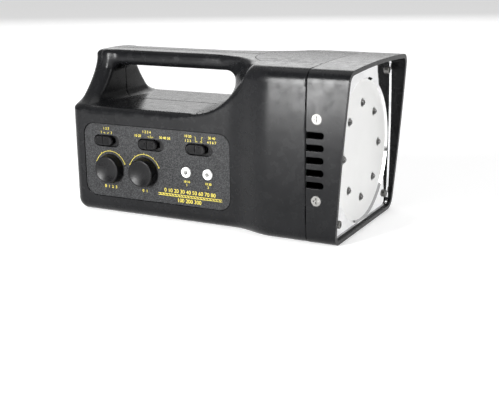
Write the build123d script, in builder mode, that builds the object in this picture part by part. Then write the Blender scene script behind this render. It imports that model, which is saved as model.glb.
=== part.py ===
"""Hand-held digital strobe light, 228 mm long, as separate pieces.

Frame: millimetres, origin under the middle of the base, +X towards the lamp, -Y towards the
control panel, +Z up. Each piece is written to parts/ under its own name.
"""
import os
from math import sqrt
from build123d import *

# ---- Overall sizes ----
LENGTH = 228.4          # rear wall to the upper lip of the hood
HEAD_WIDTH = 120.0      # widest part of the lamp head
HEIGHT = 120.0          # base to the crown of the head
BODY_WIDTH = 99.0       # the lower body behind the head
WALL = 3.0              # moulded wall of housing and hood
CLEAR = 0.3             # gap between pieces that move past each other
FIT = 0.1               # gap between pieces that only have to be assembled

# ---- Housing outline ----
HEAD_SAG = 2.0          # how far the head's sides bulge
BODY_SAG = 0.4          # the body's sides are almost flat
CROWN = 2.0             # rise of the roof in the middle
CORNER_R = 8.7          # long edges of the housing
HOOD_LENGTH = 29.7      # seam to the upper lip
HOOD_RAKE = 9.3         # how much further the upper lip stands out than the lower one
HEAD_LENGTH = 25.5      # full-width stretch behind the seam
FLARE_LENGTH = 41.0     # stretch where the body widens into the head
FLARE_STEPS = 8
REAR_EDGE_R = 4.0
SEAM_GAP = 0.4

# ---- Handle and the opening under it ----
FLOOR_DEPTH = 39.0      # roof down to the floor of the opening
GRIP_THICK = 11.5
GRIP_WIDTH = 34.0
GRIP_EDGE_R = 5.0
POST_THICK = 18.2       # rear post, front to back
OPENING_LENGTH = 105.0
FLOOR_R = 12.0          # floor into the rear post
FOOT_R = 20.0           # floor into the head, under the grip
OPENING_R = 5.0
SHOULDER_R = 5.5
SWEEP_R = 61.0          # the arc that the head's rear edge follows on each side
SWEEP_BACK = 27.5       # how far behind the opening's front that arc starts
SWEEP_END = 25.0        # degrees left when the arc turns into a straight line
WEB_HALF = 13.0         # half width of the head's neck under the grip

# ---- Control panel ----
PANEL_HEIGHT = 55.0
PANEL_LOW = 13.6
PANEL_MARGIN = 12.0     # rear wall to the panel
PANEL_OVERRUN = 3.5     # how far the panel runs into the flare
PANEL_R = 9.0
PANEL_THICK = 1.0
PANEL_POCKET = 1.4
KNOB_Z = 35.2
SWITCH_Z = 56.0
JACK_Z = 38.7
COARSE_ALONG = 22.6     # controls, measured from the panel's rear edge
FINE_ALONG = 52.4
SWITCH_ALONG = (19.8, 58.6, 99.0)
JACK_ALONG = (88.4, 106.1)

# ---- Knobs and potentiometers ----
KNOB_D = 22.4
KNOB_FRONT_D = 20.2
KNOB_HEIGHT = 6.8
KNOB_DISH = 1.3
KNOB_CAVITY_D = 13.0
KNOB_CAVITY = 3.4
SHAFT_D = 6.0
BUSHING_D = 7.0
POT_D = 16.0
POT_NUT_AF = 10.0
POT_NUT_THICK = 2.0
RUNNING_FIT = 0.05      # radial, shaft in bushing

# ---- Slide switches ----
SLOT_LENGTH = 22.4
SLOT_HEIGHT = 9.0
CAP_LENGTH = 16.0
CAP_HEIGHT = 7.4
CAP_PROUD = 0.6
CAP_THICK = 3.0
CAP_GROOVE = 0.9
STEM_LENGTH = 6.0
STEM_HEIGHT = 3.4
STEM_DEPTH = 3.0        # how far a cap's stem reaches into its switch
SWITCH_LENGTH = 26.0
SWITCH_HEIGHT = 10.0

# ---- Jacks ----
JACK_BORE_R = 1.75
JACK_LENGTH = 14.5
JACK_SLEEVE_D = 6.0
JACK_RING_D = 7.8
JACK_PROUD = 1.6
JACK_BODY = 10.0

# ---- Boards and their fixings ----
BOARD_THICK = 1.6
CONTROL_DEPTH = 12.6    # inner wall to the control board
CONTROL_EDGE = 3.0      # panel outline to the control board's edge
BOARD_HOLE_INSET = 5.0
MAIN_DEPTH = 10.0
BOSS_D = 7.0            # board bosses
HOUSING_BOSS_D = 10.0
BOSS_SINK = 1.8         # how far a boss stops short of the outside
BOSS_ROOT = 1.0         # how far a board boss grows out of the wall
SEAT_GAP = 0.15         # slightly bulged inner wall to what sits flat against it
SCREW_D = 3.0
SCREW_HEAD_D = 5.6
SCREW_HEAD_H = 2.0
SLOT_ARM = 0.8          # width of the cross in a screw head
SHELL_SCREW_LENGTH = 21.0
SHELL_SCREW_SEAT = 10.0  # middle plane to the seat of a screw that joins the two halves

# ---- Parts on the main board, placed from the panel's rear edge ----
CAPACITOR_D = 14.0
CAPACITOR_LENGTH = 24.0
CAPACITOR_PITCH = 18.0
CAPACITOR_ALONG = 28.0
CAPACITOR_Z = 37.6
TRANSFORMER_ALONG = 46.0
TRANSFORMER_SIZE = 26.0
TRANSFORMER_DEPTH = 20.0
SINK_ALONG = 82.0
SINK_FINS = 5
SINK_PITCH = 5.5
SINK_FIN = 1.8
SINK_BASE = 3.0
SINK_DEPTH = 16.0
SINK_HEIGHT = 34.0

# ---- Lamp ----
HOOD_LIP_LOW = HOOD_LENGTH - HOOD_RAKE
PLATE_RECESS = 2.4      # lower lip back to the mirror's face
PLATE_THICK = 1.5
PLATE_RIM = 1.2
PLATE_RIM_HIGH = 0.8
PLATE_SCREW_INSET = 13.3
PLATE_SCREW_LENGTH = 10.0
PLATE_POST = 4.0        # corner post, from the screw's axis inwards
PLATE_POST_LENGTH = 12.0
DISC_Z = 55.5
DISC_WINDOW_R = 50.0
DISC_R = 52.0
DISC_THICK = 1.5
LED_COUNT = 8
LED_RING_R = 34.0
LED_D = 5.0
LED_HOLE_D = 6.2
LED_LENGTH = 8.6
LED_FLANGE_D = 5.8
LED_BOARD_R = 44.0
SPACER_RING_R = 22.0
SPACER_R = 3.2

# ---- Vents and the hood's screws ----
VENT_COUNT = 5
VENT_PITCH = 8.41
VENT_HEIGHT = 4.6
VENT_LENGTH = 12.8
SIDE_MID_Z = 59.1
HOOD_SCREW_SPREAD = 27.6
HOOD_SCREW_X = 7.2      # seam to the screw
HOOD_SCREW_HEAD_D = 7.0
HOOD_SCREW_HEAD_H = 2.0
HOOD_SCREW_SINK = 0.3   # head below the hood's side
TONGUE_HEIGHT = 14.0
TONGUE_THICK = 4.0
TONGUE_ROOT = 8.0       # how far behind the seam a tongue starts
TONGUE_REACH = 5.0      # screw's axis to the tongue's end

# ---- Display ----
WINDOW_WIDTH = 64.0
WINDOW_LENGTH = 61.3
WINDOW_BOW = 15.0       # depth of the rounded rear end
WINDOW_THICK = 2.6
WINDOW_LEDGE = 2.5
LCD_LENGTH = 30.0
LCD_WIDTH = 50.0
LCD_THICK = 2.8
LCD_SETBACK = 30.0      # seam to the middle of the liquid crystal panel
LCD_BOARD_EDGE = 4.0
FRAME_HEIGHT = 5.0
FRAME_WALL = 1.5

# ---- Tripod insert and power inlet ----
TRIPOD_R = 3.175        # 1/4 inch thread, modelled at its outside radius
TRIPOD_DEPTH = 11.0
TRIPOD_INSERT_D = 12.0
INLET_D = 8.0
INLET_BORE_D = 5.5
INLET_PIN_D = 2.1
INLET_LENGTH = 12.0
INLET_DEPTH = 9.5
INLET_FLANGE = 2.5
INLET_Z = 24.0
INLET_Y = 24.0

# ---- Places worked out from the sizes ----
FRONT_X = LENGTH / 2
REAR_X = -LENGTH / 2
SEAM_X = FRONT_X - HOOD_LENGTH
FLARE_END = SEAM_X - HEAD_LENGTH
FLARE_START = FLARE_END - FLARE_LENGTH
HEAD_HALF = HEAD_WIDTH / 2
BODY_HALF = BODY_WIDTH / 2
FLOOR_Z = HEIGHT - FLOOR_DEPTH
GRIP_LOW = HEIGHT - GRIP_THICK
GRIP_HALF = GRIP_WIDTH / 2
OPENING_REAR = REAR_X + POST_THICK
OPENING_FRONT = OPENING_REAR + OPENING_LENGTH
PANEL_REAR = REAR_X + PANEL_MARGIN
PANEL_FRONT = FLARE_START + PANEL_OVERRUN
PANEL_LENGTH = PANEL_FRONT - PANEL_REAR
PANEL_MID_X = (PANEL_REAR + PANEL_FRONT) / 2
PANEL_MID_Z = PANEL_LOW + PANEL_HEIGHT / 2
PANEL_FACE = BODY_HALF - PANEL_POCKET + PANEL_THICK
INNER_HALF = BODY_HALF - WALL
SEAT_HALF = INNER_HALF - SEAT_GAP
CONTROL_Y = -(INNER_HALF - CONTROL_DEPTH)
MAIN_Y = INNER_HALF - MAIN_DEPTH
LIP_LOW_X = SEAM_X + HOOD_LIP_LOW
PLATE_X = LIP_LOW_X - PLATE_RECESS
PLATE_BACK = PLATE_X - PLATE_THICK
DISC_BACK = PLATE_BACK - DISC_THICK
LED_TIP_X = PLATE_X + 0.5
LED_BOARD_X = LED_TIP_X - LED_LENGTH
HOOD_INNER_HALF = HEAD_HALF - WALL
TONGUE_FACE = HEAD_HALF - HEAD_SAG / 2 - WALL - CLEAR
SLIDER_TRAVEL = SLOT_LENGTH - CAP_LENGTH - 2 * CLEAR
WINDOW_REAR = SEAM_X - WINDOW_LENGTH
WINDOW_LOW = HEIGHT - WINDOW_THICK
LCD_MID_X = SEAM_X - LCD_SETBACK
LCD_TOP = WINDOW_LOW - FRAME_HEIGHT
TRIPOD_X = FLARE_START
FAR = 2 * LENGTH


def eased(t):
    """Ease from 0 to 1 with level ends."""
    return t * t * (3 - 2 * t)


def mirrored(value):
    """The same distance on the -Y and +Y side."""
    return (-value, value)


def section(x, half, sag, inset=0.0):
    """Cross-section of the housing at x: flat base, bulging sides, crowned roof, round corners."""
    side = half - inset
    corner = side - sag
    top = HEIGHT - CROWN - inset
    with BuildSketch(Plane.YZ.offset(x)) as outline:
        with BuildLine():
            Line((-corner, inset), (corner, inset))
            ThreePointArc((corner, inset), (side, HEIGHT / 2), (corner, top))
            ThreePointArc((corner, top), (0, HEIGHT - inset), (-corner, top))
            ThreePointArc((-corner, top), (-side, HEIGHT / 2), (-corner, inset))
        make_face()
        fillet(outline.vertices(), CORNER_R - inset)
    return outline.sketch


def flare_section(step, inset=0.0):
    """Cross-section at one step of the flare, from the body's width to the head's."""
    along = step / FLARE_STEPS
    grown = eased(along)
    half = BODY_HALF + (HEAD_HALF - BODY_HALF) * grown
    sag = BODY_SAG + (HEAD_SAG - BODY_SAG) * grown
    return section(FLARE_START + FLARE_LENGTH * along, half, sag, inset)


def block(start, inset=0.0):
    """Body, flare and head as one block from start to the seam, before the handle is shaped."""
    with BuildPart() as whole:
        extrude(section(start, BODY_HALF, BODY_SAG, inset), FLARE_START - start)
        loft([flare_section(step, inset) for step in range(FLARE_STEPS + 1)])
        extrude(section(FLARE_END, HEAD_HALF, HEAD_SAG, inset), HEAD_LENGTH)
    return whole.part


def tail_half():
    """One half of the rear end's outline in YZ: body, concave flank and grip."""
    shoulder = (BODY_HALF, FLOOR_Z - 9)
    neck = (GRIP_HALF, GRIP_LOW + 1)
    with BuildSketch(Plane.YZ.offset(REAR_X)) as outline:
        with BuildLine():
            Line((0, 0), (BODY_HALF, 0))
            Line((BODY_HALF, 0), shoulder)
            Spline(shoulder, (BODY_HALF - 5, FLOOR_Z - 2), (BODY_HALF - 21, FLOOR_Z + 12), neck,
                   tangents=((0, 1), (-0.15, 1)))
            Line(neck, (GRIP_HALF, HEIGHT))
            Line((GRIP_HALF, HEIGHT), (0, HEIGHT))
            Line((0, HEIGHT), (0, 0))
        make_face()
        fillet(outline.vertices().sort_by(Axis.X)[-2:].sort_by(Axis.Y)[0], CORNER_R)
        fillet(outline.vertices().filter_by(lambda v: abs(v.Y - GRIP_HALF) < 0.01 and v.Z > HEIGHT - 0.01),
               GRIP_EDGE_R)
    return outline.sketch


def sweep_side(offset, start, radius, end_angle):
    """Side view, in a plane parallel to XZ, of what is cut away beside the grip."""
    centre = (start, FLOOR_Z + radius)
    with BuildSketch(Plane.XZ.offset(offset)) as outline:
        with BuildLine():
            rise = CenterArc(centre, radius, -90, 90 - end_angle)
            straight = PolarLine(rise @ 1, 30, 90 - end_angle)
            Line(straight @ 1, (REAR_X - 20, (straight @ 1).Y))
            Line((REAR_X - 20, (straight @ 1).Y), (REAR_X - 20, FLOOR_Z))
            Line((REAR_X - 20, FLOOR_Z), rise @ 0)
        make_face()
    return outline.sketch


def sweep_cut(side):
    """What is cut away beside the grip on one side, side being -1 or 1."""
    inner = sweep_side(-side * WEB_HALF, OPENING_FRONT - FOOT_R, FOOT_R, 0.5)
    outer = sweep_side(-side * BODY_HALF, OPENING_FRONT - SWEEP_BACK, SWEEP_R, SWEEP_END)
    with BuildPart() as cut:
        loft([inner, outer], ruled=True)
        extrude(outer, -side * HEAD_HALF)
    return cut.part


def opening_side():
    """Side view of the opening under the grip."""
    with BuildSketch(Plane.XZ) as outline:
        with BuildLine():
            Polyline((OPENING_REAR, FLOOR_Z), (OPENING_FRONT, FLOOR_Z), (OPENING_FRONT, GRIP_LOW),
                     (OPENING_REAR, GRIP_LOW), (OPENING_REAR, FLOOR_Z))
        make_face()
        corners = outline.vertices()
        rear, front = corners.group_by(Axis.X)[0], corners.group_by(Axis.X)[-1]
        fillet(rear.sort_by(Axis.Z)[0], FLOOR_R)
        fillet(rear.sort_by(Axis.Z)[-1], OPENING_R)
        fillet(front.sort_by(Axis.Z)[0], FOOT_R)
        fillet(front.sort_by(Axis.Z)[-1], OPENING_R)
    return outline.sketch


def cavity_side():
    """Side view of the hollow: body, then up into the head behind the swept edge."""
    low, floor, top = WALL, FLOOR_Z - WALL, HEIGHT - WALL
    head_rear = OPENING_FRONT + 30.0
    with BuildSketch(Plane.XZ) as outline:
        with BuildLine():
            Polyline((REAR_X + WALL, low), (SEAM_X, low), (SEAM_X, top), (head_rear, top),
                     (OPENING_FRONT + 8, floor), (REAR_X + WALL, floor), (REAR_X + WALL, low))
        make_face()
    return outline.sketch


def wire_duct():
    """Narrow hollow through post, grip and head neck, for lightness and wires."""
    half, wall = GRIP_HALF - WALL, WALL
    with BuildSketch(Plane.XZ) as outline:
        with BuildLine():
            Polyline((REAR_X + wall, FLOOR_Z - 5), (OPENING_REAR - wall, FLOOR_Z - 5),
                     (OPENING_REAR - wall, GRIP_LOW + wall), (OPENING_FRONT + 32, GRIP_LOW + wall),
                     (OPENING_FRONT + 32, HEIGHT - wall), (REAR_X + wall + 4, HEIGHT - wall),
                     (REAR_X + wall, HEIGHT - wall - 4), (REAR_X + wall, FLOOR_Z - 5))
        make_face()
    with BuildPart() as duct:
        extrude(outline.sketch, half - 2, both=True)
    return duct.part


# ---- Housing: outside form, then hollow ----
with BuildPart() as tail:
    extrude(tail_half(), POST_THICK)
    mirror(about=Plane.XZ)
    rim = tail.edges().group_by(Axis.X)[0].filter_by(lambda e: abs(e.center().Y) > 0.5)
    fillet(rim, REAR_EDGE_R)
with BuildPart() as grip:
    with BuildSketch(Plane.YZ.offset(OPENING_REAR)):
        with Locations((0, HEIGHT - GRIP_THICK / 2)):
            RectangleRounded(GRIP_WIDTH, GRIP_THICK, GRIP_EDGE_R)
    extrude(amount=OPENING_LENGTH + 30)


def on_side(x, z, depth=0.0):
    """Plane facing out of the control side at (x, z), depth in from the body's flat side."""
    return Plane(origin=(x, -BODY_HALF + depth, z), x_dir=(1, 0, 0), z_dir=(0, -1, 0))


def rod(start, direction, radius, length):
    """Plain round rod."""
    return Solid.make_cylinder(radius, length, Plane(origin=start, z_dir=direction))


def brick(low, high):
    """Block between two corners."""
    size = [b - a for a, b in zip(low, high)]
    return Solid.make_box(*size, Plane(origin=low))


def half_at(x):
    """Half width of the housing at x."""
    along = min(max((x - FLARE_START) / FLARE_LENGTH, 0.0), 1.0)
    return BODY_HALF + (HEAD_HALF - BODY_HALF) * eased(along)


def slot_row():
    """Middles of the three switch slots along the panel."""
    return [PANEL_REAR + along for along in SWITCH_ALONG]


def jack_row():
    """Middles of the two jacks along the panel."""
    return [PANEL_REAR + along for along in JACK_ALONG]


def cross_recess(seat, reach, depth):
    """Cross-shaped recess sunk from a plane."""
    arms = []
    for long, short in ((reach, SLOT_ARM), (SLOT_ARM, reach)):
        origin = seat.from_local_coords((-long / 2, -short / 2, 0))
        arms.append(Solid.make_box(long, short, depth, Plane(origin, seat.x_dir, seat.z_dir)))
    return arms


def pan_screw(start, direction, length):
    """Domed screw: start is under its head, direction runs down its shank."""
    seat = Plane(origin=start, z_dir=direction)
    top = seat.offset(-SCREW_HEAD_H)
    head = Solid.make_cylinder(SCREW_HEAD_D / 2, SCREW_HEAD_H, top)
    rims = head.edges().sort_by(lambda edge: abs(top.to_local_coords(edge.center()).Z))
    dome = head.fillet(SCREW_HEAD_H * 0.45, [rims[0]])
    whole = dome.fuse(Solid.make_cylinder(SCREW_D / 2, length, seat))
    return whole.cut(*cross_recess(top, SCREW_HEAD_D * 0.55, SCREW_HEAD_H / 2))


def countersunk(start, direction, length, head_d, head_h):
    """Countersunk screw: start is the middle of its flat head, direction runs down its shank."""
    seat = Plane(origin=start, z_dir=direction)
    cone = Solid.make_cone(head_d / 2, SCREW_D / 2, head_h, seat)
    whole = cone.fuse(Solid.make_cylinder(SCREW_D / 2, length, seat))
    return whole.cut(*cross_recess(seat, head_d * 0.6, head_h * 0.55))


def save(part, name):
    """Label a finished piece and write it to parts/."""
    part.label = name
    export_step(part, f"parts/{name}.step")


os.makedirs("parts", exist_ok=True)
KNOBS = {"coarse": PANEL_REAR + COARSE_ALONG, "fine": PANEL_REAR + FINE_ALONG}
SLIDERS = dict(zip(("range", "mode", "input"), slot_row()))
BOARD_LOW = PANEL_LOW + CONTROL_EDGE + BOARD_HOLE_INSET
BOARD_HIGH = PANEL_LOW + PANEL_HEIGHT - CONTROL_EDGE - BOARD_HOLE_INSET
BOARD_REAR = PANEL_REAR + CONTROL_EDGE + BOARD_HOLE_INSET
BOARD_FRONT = PANEL_FRONT - CONTROL_EDGE - BOARD_HOLE_INSET
BOARD_CORNERS = [(BOARD_REAR, BOARD_LOW), (BOARD_FRONT, BOARD_LOW),
                 ((slot_row()[0] + slot_row()[1]) / 2, BOARD_HIGH), (BOARD_FRONT, BOARD_HIGH)]
HOUSING_BOSSES = [(REAR_X + 7.5, 9.0), (REAR_X + 7.5, FLOOR_Z - 9), (FLARE_START + 14, 9.0),
                  (FLARE_END + 4, 9.0), (FLARE_END + 4, HEIGHT - 28)]
TONGUE_Z = [SIDE_MID_Z - HOOD_SCREW_SPREAD, SIDE_MID_Z + HOOD_SCREW_SPREAD]
PLATE_CORNERS = [(y, z) for y in mirrored(HOOD_INNER_HALF - 10.6)
                 for z in (PLATE_SCREW_INSET, HEIGHT - PLATE_SCREW_INSET)]

# ---- Housing: outside form, then the hollow and all openings in it ----
with BuildPart() as form:
    add(block(OPENING_REAR))
    for side in (-1, 1):
        add(sweep_cut(side), mode=Mode.SUBTRACT)
    extrude(opening_side(), WEB_HALF + 0.5, both=True, mode=Mode.SUBTRACT)
    # rounded shoulders beside the opening's floor
    with BuildSketch(Plane.YZ.offset(OPENING_REAR)):
        with Locations(*[(y, FLOOR_Z) for y in mirrored(BODY_HALF)]):
            Rectangle(2 * SHOULDER_R, 2 * SHOULDER_R)
        with Locations(*[(y, FLOOR_Z - SHOULDER_R) for y in mirrored(BODY_HALF - SHOULDER_R)]):
            Circle(SHOULDER_R, mode=Mode.SUBTRACT)
    extrude(amount=OPENING_LENGTH - SWEEP_BACK, mode=Mode.SUBTRACT)
    add(tail.part)
    add(grip.part)

with BuildPart() as hollow:
    add(block(REAR_X + WALL, WALL))
    extrude(cavity_side(), HEAD_HALF, both=True, mode=Mode.INTERSECT)


def window_outline(grow=0.0):
    """Display window seen from above: straight sides, bowed rear end, open at the seam."""
    half = WINDOW_WIDTH / 2 + grow
    rear = WINDOW_REAR - grow
    with BuildSketch(Plane.XY.offset(WINDOW_LOW)) as outline:
        with BuildLine():
            Line((SEAM_X - SEAM_GAP + grow, half), (rear + WINDOW_BOW, half))
            ThreePointArc((rear + WINDOW_BOW, half), (rear, 0), (rear + WINDOW_BOW, -half))
            Line((rear + WINDOW_BOW, -half), (SEAM_X - SEAM_GAP + grow, -half))
            Line((SEAM_X - SEAM_GAP + grow, -half), (SEAM_X - SEAM_GAP + grow, half))
        make_face()
    return outline.sketch


with BuildPart() as housing:
    add(form.part)
    add(hollow.part, mode=Mode.SUBTRACT)
    add(wire_duct(), mode=Mode.SUBTRACT)
    # seam gap against the hood
    add(brick((SEAM_X - SEAM_GAP, -HEAD_WIDTH, -1), (SEAM_X + 1, HEAD_WIDTH, HEIGHT + 1)),
        mode=Mode.SUBTRACT)
    # posts for the screws that hold the two halves together
    for x, z in HOUSING_BOSSES:
        reach = half_at(x) - BOSS_SINK
        add(rod((x, -reach, z), (0, 1, 0), HOUSING_BOSS_D / 2, 2 * reach))
    # posts for both circuit boards
    for x, z in BOARD_CORNERS:
        add(rod((x, -INNER_HALF - BOSS_ROOT, z), (0, 1, 0), BOSS_D / 2, CONTROL_DEPTH + BOSS_ROOT))
        add(rod((x, INNER_HALF + BOSS_ROOT, z), (0, -1, 0), BOSS_D / 2, MAIN_DEPTH + BOSS_ROOT))
        add(rod((x, CONTROL_Y, z), (0, -1, 0), SCREW_D / 2 + FIT, 8.0), mode=Mode.SUBTRACT)
        add(rod((x, MAIN_Y, z), (0, 1, 0), SCREW_D / 2 + FIT, 8.0), mode=Mode.SUBTRACT)
    # tongues that reach into the hood
    for side in (-1, 1):
        for z in TONGUE_Z:
            inner, outer = side * (TONGUE_FACE - TONGUE_THICK), side * TONGUE_FACE
            root = side * (HEAD_HALF - WALL / 2)
            low, high = z - TONGUE_HEIGHT / 2, z + TONGUE_HEIGHT / 2
            add(brick((SEAM_X - TONGUE_ROOT, min(inner, outer), low),
                      (SEAM_X + HOOD_SCREW_X + TONGUE_REACH, max(inner, outer), high)))
            add(brick((SEAM_X - TONGUE_ROOT, min(inner, root), low),
                      (SEAM_X - SEAM_GAP, max(inner, root), high)))
            add(rod((SEAM_X + HOOD_SCREW_X, side * HEAD_HALF, z), (0, -side, 0), SCREW_D / 2 + FIT, 14.0),
                mode=Mode.SUBTRACT)
    # display opening with its ledge
    extrude(window_outline(FIT), 2 * WINDOW_THICK, mode=Mode.SUBTRACT)
    extrude(window_outline(-WINDOW_LEDGE), -20.0, mode=Mode.SUBTRACT)
    # thickened floor for the tripod insert
    add(rod((TRIPOD_X, 0, 0.5), (0, 0, 1), TRIPOD_INSERT_D / 2 + 3.0, TRIPOD_DEPTH + 1.5))
    add(rod((TRIPOD_X, 0, -1), (0, 0, 1), TRIPOD_INSERT_D / 2, TRIPOD_DEPTH + 1), mode=Mode.SUBTRACT)
    # power inlet in the rear wall
    add(rod((REAR_X - 1, INLET_Y, INLET_Z), (1, 0, 0), INLET_D / 2 + FIT, 8.0), mode=Mode.SUBTRACT)
    # pocket for the control panel and everything that passes through it
    with BuildSketch(on_side(PANEL_MID_X, PANEL_MID_Z, -3.0)):
        RectangleRounded(PANEL_LENGTH + 2 * FIT, PANEL_HEIGHT + 2 * FIT, PANEL_R)
    extrude(amount=-(PANEL_POCKET + 3.0), mode=Mode.SUBTRACT)
    with BuildSketch(on_side(0, SWITCH_Z, 0)):
        with Locations(*[(x, 0) for x in slot_row()]):
            SlotOverall(SLOT_LENGTH, SLOT_HEIGHT)
    extrude(amount=-WALL - 1, mode=Mode.SUBTRACT)
    with BuildSketch(on_side(0, KNOB_Z, 0)):
        with Locations(*[(x, 0) for x in KNOBS.values()]):
            Circle(BUSHING_D / 2 + FIT)
    extrude(amount=-WALL - 1, mode=Mode.SUBTRACT)
    with BuildSketch(on_side(0, JACK_Z, 0)):
        with Locations(*[(x, 0) for x in jack_row()]):
            Circle(JACK_SLEEVE_D / 2 + FIT)
    extrude(amount=-WALL - 1, mode=Mode.SUBTRACT)

with BuildPart() as right_shell:
    add(housing.part)
    add(brick((-FAR, 0, -FAR), (FAR, FAR, FAR)), mode=Mode.SUBTRACT)
    for x, z in HOUSING_BOSSES:
        add(rod((x, 1, z), (0, -1, 0), SCREW_D / 2 + FIT, 13.0), mode=Mode.SUBTRACT)

with BuildPart() as left_shell:
    add(housing.part)
    add(brick((-FAR, -FAR, -FAR), (FAR, 0, FAR)), mode=Mode.SUBTRACT)
    for x, z in HOUSING_BOSSES:
        add(rod((x, -1, z), (0, 1, 0), SCREW_D / 2 + FIT, HEAD_WIDTH), mode=Mode.SUBTRACT)
        add(rod((x, SHELL_SCREW_SEAT, z), (0, 1, 0), SCREW_HEAD_D / 2 + CLEAR, HEAD_WIDTH),
            mode=Mode.SUBTRACT)

save(right_shell.part, "right_shell")
save(left_shell.part, "left_shell")

with BuildPart() as housing_screws:
    for x, z in HOUSING_BOSSES:
        add(pan_screw((x, SHELL_SCREW_SEAT, z), (0, -1, 0), SHELL_SCREW_LENGTH))
save(housing_screws.part, "housing_screws")


# ---- Hood: frame in front of the seam with raked lip, vents and the mirror's corner posts ----
def rake_plane():
    """The raked front of the hood, facing forward."""
    lean = HOOD_RAKE / HEIGHT
    return Plane(origin=(LIP_LOW_X, 0, 0), x_dir=(0, 1, 0), z_dir=(1, 0, -lean))


def hood_screw_seats():
    """Side and head centre of each screw that holds the hood."""
    seats = []
    for side in (-1, 1):
        for z in TONGUE_Z:
            face = HEAD_HALF - HEAD_SAG * ((z - HEIGHT / 2) / (HEIGHT / 2)) ** 2
            seats.append((side, (SEAM_X + HOOD_SCREW_X, side * (face - HOOD_SCREW_SINK), z)))
    return seats


with BuildPart() as corner_posts:
    for y, z in PLATE_CORNERS:
        near_y = y - PLATE_POST if y > 0 else y + PLATE_POST
        far_y = FAR if y > 0 else -FAR
        near_z = z - PLATE_POST if z > SIDE_MID_Z else z + PLATE_POST
        far_z = FAR if z > SIDE_MID_Z else -FAR
        add(brick((PLATE_BACK - PLATE_POST_LENGTH, min(near_y, far_y), min(near_z, far_z)),
                  (PLATE_BACK, max(near_y, far_y), max(near_z, far_z))))
    # the posts end in the middle of the hood's wall
    extrude(section(PLATE_BACK - PLATE_POST_LENGTH, HEAD_HALF, HEAD_SAG, WALL / 2), PLATE_POST_LENGTH,
            mode=Mode.INTERSECT)

with BuildPart() as front_bezel:
    extrude(section(SEAM_X, HEAD_HALF, HEAD_SAG), HOOD_LENGTH)
    extrude(section(SEAM_X, HEAD_HALF, HEAD_SAG, WALL), HOOD_LENGTH, mode=Mode.SUBTRACT)
    split(bisect_by=rake_plane(), keep=Keep.BOTTOM)
    add(corner_posts.part)
    for y, z in PLATE_CORNERS:
        add(rod((PLATE_BACK + 1, y, z), (-1, 0, 0), SCREW_D / 2 + FIT, PLATE_SCREW_LENGTH + 1),
            mode=Mode.SUBTRACT)
    with BuildSketch(Plane.XZ):
        for step in range(VENT_COUNT):
            z = SIDE_MID_Z + VENT_PITCH * (step - (VENT_COUNT - 1) / 2)
            with Locations((SEAM_X, z)):
                SlotOverall(2 * VENT_LENGTH, VENT_HEIGHT)
    extrude(amount=HEAD_WIDTH, both=True, mode=Mode.SUBTRACT)
    for side, seat in hood_screw_seats():
        inwards = (0, -side, 0)
        add(rod(seat, inwards, SCREW_D / 2 + FIT, 2 * WALL), mode=Mode.SUBTRACT)
        add(Solid.make_cone(HOOD_SCREW_HEAD_D / 2 + FIT, SCREW_D / 2 + FIT, HOOD_SCREW_HEAD_H,
                            Plane(origin=seat, z_dir=inwards)), mode=Mode.SUBTRACT)
        add(rod(seat, (0, side, 0), HOOD_SCREW_HEAD_D / 2 + FIT, WALL), mode=Mode.SUBTRACT)
save(front_bezel.part, "front_bezel")

with BuildPart() as bezel_screws:
    for side, seat in hood_screw_seats():
        add(countersunk(seat, (0, -side, 0), 3 * WALL, HOOD_SCREW_HEAD_D, HOOD_SCREW_HEAD_H))
save(bezel_screws.part, "bezel_screws")

# ---- Lamp: mirror plate, white disc, LEDs on their board ----
with BuildPart() as reflector_plate:
    extrude(section(PLATE_BACK, HEAD_HALF, HEAD_SAG, WALL + CLEAR), PLATE_THICK + PLATE_RIM_HIGH)
    extrude(section(PLATE_X, HEAD_HALF, HEAD_SAG, WALL + CLEAR + PLATE_RIM), PLATE_RIM_HIGH,
            mode=Mode.SUBTRACT)
    add(Solid.make_cone(DISC_WINDOW_R, DISC_WINDOW_R + PLATE_THICK, PLATE_THICK,
                        Plane(origin=(PLATE_BACK, 0, DISC_Z), z_dir=(1, 0, 0))), mode=Mode.SUBTRACT)
    for y, z in PLATE_CORNERS:
        add(rod((PLATE_BACK - 1, y, z), (1, 0, 0), SCREW_D / 2 + FIT, 5.0), mode=Mode.SUBTRACT)
save(reflector_plate.part, "reflector_plate")

with BuildPart() as plate_screws:
    for y, z in PLATE_CORNERS:
        add(pan_screw((PLATE_X, y, z), (-1, 0, 0), PLATE_SCREW_LENGTH))
save(plate_screws.part, "plate_screws")

with BuildPart() as led_disc:
    with BuildSketch(Plane.YZ.offset(DISC_BACK)):
        with Locations((0, DISC_Z)):
            Circle(DISC_R)
            with PolarLocations(LED_RING_R, LED_COUNT):
                Circle(LED_HOLE_D / 2, mode=Mode.SUBTRACT)
    extrude(amount=DISC_THICK)
save(led_disc.part, "led_disc")

with BuildPart() as led_board:
    with BuildSketch(Plane.YZ.offset(LED_BOARD_X - BOARD_THICK)):
        with Locations((0, DISC_Z)):
            Circle(LED_BOARD_R)
            with PolarLocations(SPACER_RING_R, 4, 45):
                Circle(SCREW_D / 2 + FIT, mode=Mode.SUBTRACT)
    extrude(amount=BOARD_THICK)
save(led_board.part, "led_board")

with BuildPart() as leds:
    with BuildSketch(Plane.YZ.offset(LED_BOARD_X)):
        with Locations((0, DISC_Z)):
            with PolarLocations(LED_RING_R, LED_COUNT):
                Circle(LED_FLANGE_D / 2)
    extrude(amount=1.0)
    with BuildSketch(Plane.YZ.offset(LED_BOARD_X + 1)):
        with Locations((0, DISC_Z)):
            with PolarLocations(LED_RING_R, LED_COUNT):
                Circle(LED_D / 2)
    extrude(amount=LED_LENGTH - 1)
    fillet(leds.edges().group_by(Axis.X)[-1], LED_D / 2 - 0.05)
save(leds.part, "leds")

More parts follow.
